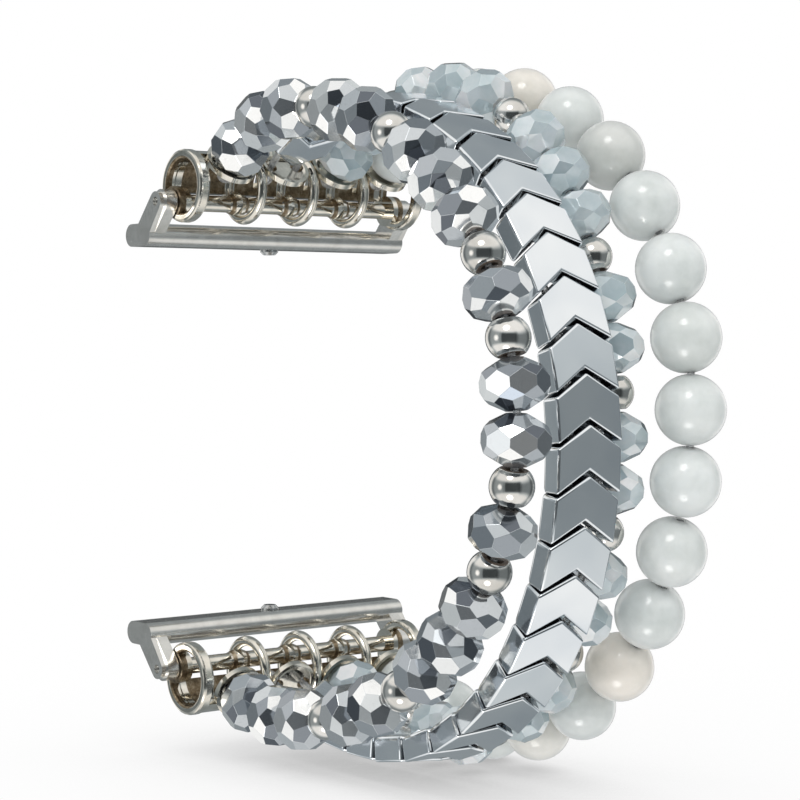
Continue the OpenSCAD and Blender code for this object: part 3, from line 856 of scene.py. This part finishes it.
class BandBeads(bpy.types.PropertyGroup):
    """Widths of the beads' edges."""

    crystal_edge: bpy.props.FloatProperty(
        name="Crystal edge",
        description="Width of the polished edge between two facets",
        unit="LENGTH",
        default=0.012 * MM,
    )
    ball_edge: bpy.props.FloatProperty(
        name="Ball edge",
        description="Rounding of the hole edges of the balls",
        unit="LENGTH",
        default=0.06 * MM,
    )
    stone_edge: bpy.props.FloatProperty(
        name="Stone edge",
        description="Bevel of the hole edges of the round stones",
        unit="LENGTH",
        default=0.02 * MM,
    )
    chevron_edge: bpy.props.FloatProperty(
        name="Chevron edge",
        description="Rounding of the edges of the chevrons",
        unit="LENGTH",
        default=0.2 * MM,
    )


class BandStage(bpy.types.PropertyGroup):
    """The camera, the floor and the light."""

    camera_place: bpy.props.FloatVectorProperty(
        name="Camera",
        description="Place of the camera",
        subtype="TRANSLATION",
        default=(-124.2 * MM, -178.9 * MM, -9.4 * MM),
    )
    camera_target: bpy.props.FloatVectorProperty(
        name="Target",
        description="Point in the middle of the picture",
        subtype="TRANSLATION",
        default=(-10.13 * MM, -34.2 * MM, -15.19 * MM),
    )
    lens: bpy.props.FloatProperty(
        name="Lens",
        description="Focal length on a sensor 36 mm wide",
        subtype="DISTANCE_CAMERA",
        default=96.7,
    )
    floor_reach: bpy.props.FloatProperty(
        name="Floor radius",
        description="How far the floor reaches",
        unit="LENGTH",
        default=2.0,
    )
    floor_shadow: bpy.props.FloatProperty(
        name="Floor shadow",
        description="How dark the floor is where it is wholly covered",
        default=0.55,
        subtype="FACTOR",
    )
    key_power: bpy.props.FloatProperty(
        name="Key lamp",
        description="Power of the soft lamp above the camera",
        subtype="POWER",
        default=0.24,
    )
    fill_power: bpy.props.FloatProperty(
        name="Fill lamp",
        description="Power of the soft lamp low in front",
        subtype="POWER",
        default=0.08,
    )
    sky_level: bpy.props.FloatProperty(
        name="Sky level",
        description="Brightness of the light from all around",
        default=0.9,
    )


# Operators


class BAND_OT_dress_ends(bpy.types.Operator):
    """Give the adapters, barrels, pins and latches their metal"""

    bl_idname = "band.dress_ends"
    bl_label = "Cast ends"

    def execute(self, context):
        nickel = context.scene.band_metals.nickel
        alloy = cast_nickel(nickel)
        steel = drawn_steel()
        for end in ENDS:
            give_finish(f"{end}_adapter", alloy)
            give_finish(f"{end}_barrel", barrel_nickel(nickel, end))
            give_finish(f"{end}_pin", steel)
            give_finish(f"{end}_latch", steel)
            coil_spring(end, steel)
        return {"FINISHED"}


class BAND_OT_dress_mirror_strand(bpy.types.Operator):
    """Cut the mirror crystals of the first strand and polish its balls"""

    bl_idname = "band.dress_mirror_strand"
    bl_label = "Mirror strand"

    def execute(self, context):
        dress_crystal_strand("mirror", mirror_coat(), context.scene.band_beads)
        return {"FINISHED"}


class BAND_OT_dress_chevrons(bpy.types.Operator):
    """Plate the chevrons of the second strand"""

    bl_idname = "band.dress_chevrons"
    bl_label = "Chevrons"

    def execute(self, context):
        plate = chevron_plate()
        for section in SECTIONS:
            plate_chevrons(f"chevrons_{section}", plate, context.scene.band_beads.chevron_edge)
        return {"FINISHED"}


class BAND_OT_dress_pale_strand(bpy.types.Operator):
    """Cut the pale crystals of the third strand and polish its balls"""

    bl_idname = "band.dress_pale_strand"
    bl_label = "Pale strand"

    def execute(self, context):
        dress_crystal_strand("pale", opal_crystal(), context.scene.band_beads)
        return {"FINISHED"}


class BAND_OT_dress_moonstones(bpy.types.Operator):
    """Give the round stones of the fourth strand their milky depth"""

    bl_idname = "band.dress_moonstones"
    bl_label = "Moonstones"

    def execute(self, context):
        milk = milky_stone()
        edge = context.scene.band_beads.stone_edge
        for section, section_tints in zip(SECTIONS, STONE_TINTS):
            polish_stones(f"moonstones_{section}", milk, edge, section_tints)
        return {"FINISHED"}


class BAND_OT_dress_cords(bpy.types.Operator):
    """Make the elastic cords and their knots clear"""

    bl_idname = "band.dress_cords"
    bl_label = "Cords"

    def execute(self, context):
        elastic = clear_elastic()
        for section in SECTIONS:
            give_finish(f"cords_{section}", elastic)
        for end in ENDS:
            give_finish(f"{end}_knots", elastic)
        return {"FINISHED"}


class BAND_OT_set_stage(bpy.types.Operator):
    """Lay the floor and set the camera, the sky and the lamps"""

    bl_idname = "band.set_stage"
    bl_label = "Stage"

    def execute(self, context):
        stage = context.scene.band_stage
        place = Vector(stage.camera_place)
        target = Vector(stage.camera_target)
        front = (place - target).normalized()
        stage_camera(stage.lens, place, target)
        stage_floor(stage.floor_reach, CAD_BOX[0][2], stage.floor_shadow)
        stage_sky(stage.sky_level, front)
        soft_lamp("key", stage.key_power, front, target)
        soft_lamp("fill", stage.fill_power, front, target)
        context.scene.view_settings.view_transform = "Standard"
        return {"FINISHED"}


class BAND_PT_panel(bpy.types.Panel):
    """The band's steps in the 3D view's sidebar"""

    bl_idname = "BAND_PT_panel"
    bl_label = "Bead band"
    bl_space_type = "VIEW_3D"
    bl_region_type = "UI"
    bl_category = "Bead Band"

    def draw(self, context):
        for operator in OPERATORS:
            self.layout.operator(operator.bl_idname)


GROUPS = {"band_metals": BandMetals, "band_beads": BandBeads, "band_stage": BandStage}
OPERATORS = (
    BAND_OT_dress_ends,
    BAND_OT_dress_mirror_strand,
    BAND_OT_dress_chevrons,
    BAND_OT_dress_pale_strand,
    BAND_OT_dress_moonstones,
    BAND_OT_dress_cords,
    BAND_OT_set_stage,
)


def register():
    for kind in (*GROUPS.values(), *OPERATORS, BAND_PT_panel):
        bpy.utils.register_class(kind)
    for name, group in GROUPS.items():
        setattr(bpy.types.Scene, name, bpy.props.PointerProperty(type=group))


def unregister():
    for name in GROUPS:
        delattr(bpy.types.Scene, name)
    for kind in (BAND_PT_panel, *reversed(OPERATORS), *GROUPS.values()):
        bpy.utils.unregister_class(kind)


def main():
    register()
    bpy.ops.band.dress_ends()
    bpy.ops.band.dress_mirror_strand()
    bpy.ops.band.dress_chevrons()
    bpy.ops.band.dress_pale_strand()
    bpy.ops.band.dress_moonstones()
    bpy.ops.band.dress_cords()
    bpy.ops.band.set_stage()


if __name__ == "__main__":
    main()
